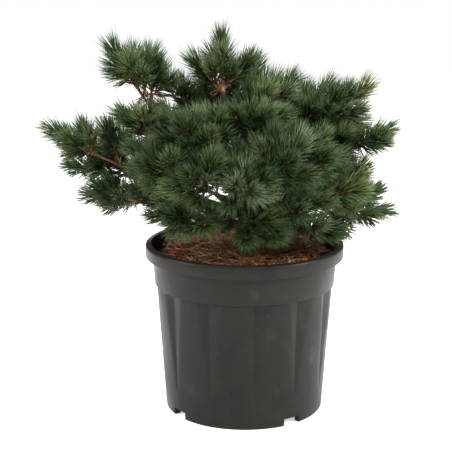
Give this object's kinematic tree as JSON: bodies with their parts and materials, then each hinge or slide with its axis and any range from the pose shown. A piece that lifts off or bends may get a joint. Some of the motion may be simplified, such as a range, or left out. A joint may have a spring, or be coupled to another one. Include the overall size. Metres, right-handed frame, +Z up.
{
  "type": "potted dwarf japanese white pine",
  "caption": "Small bushy white pine with a leaning trunk, upswept boughs and dense tufts of short needles, standing in a round black plastic nursery pot.",
  "frame": {"origin": "middle of the pot's flat underside, on the surface it stands on", "axes": "+Z up along the pot's axis, -Y the front that the picture shows, +X to the right seen from the front"},
  "size_m": [0.5778, 0.4723, 0.626],
  "materials": {
    "pot_plastic": "satin",
    "soil": "matte",
    "bark": "matte",
    "needles": "satin"
  },
  "bodies": {
    "root": {"pot": "pot_plastic", "soil": "soil", "trunk": "bark", "bough_back": "bark", "bough_back_left": "bark", "bough_back_low": "bark", "bough_back_low_left": "bark", "bough_back_low_right": "bark", "bough_back_right": "bark", "bough_left_arm": "bark", "bough_left_foot": "bark", "bough_left_front": "bark", "bough_left_front_low": "bark", "bough_left_low": "bark", "bough_low_front": "bark", "bough_low_front_left": "bark", "bough_mid_front": "bark", "bough_mid_front_left": "bark", "bough_mid_front_right": "bark", "bough_right_arm": "bark", "bough_right_front": "bark", "bough_right_front_low": "bark", "bough_right_low": "bark", "bough_right_low_front": "bark", "bough_right_top": "bark", "bough_upper_front_left": "bark", "bough_upper_left": "bark", "mass_back": "needles", "mass_back_left": "needles", "mass_back_low": "needles", "mass_back_low_left": "needles", "mass_back_low_right": "needles", "mass_back_right": "needles", "mass_back_top": "needles", "mass_leader": "needles", "mass_left_arm": "needles", "mass_left_foot": "needles", "mass_left_front": "needles", "mass_left_front_low": "needles", "mass_left_low": "needles", "mass_low_front": "needles", "mass_low_front_left": "needles", "mass_mid_front": "needles", "mass_mid_front_left": "needles", "mass_mid_front_right": "needles", "mass_right_arm": "needles", "mass_right_foot": "needles", "mass_right_front": "needles", "mass_right_front_low": "needles", "mass_right_low": "needles", "mass_right_low_front": "needles", "mass_right_top": "needles", "mass_right_top_inner": "needles", "mass_upper_front": "needles", "mass_upper_front_left": "needles", "mass_upper_front_right": "needles", "mass_upper_left": "needles", "mass_upper_left_inner": "needles", "mass_upper_right": "needles"}
  },
  "joints": []
}
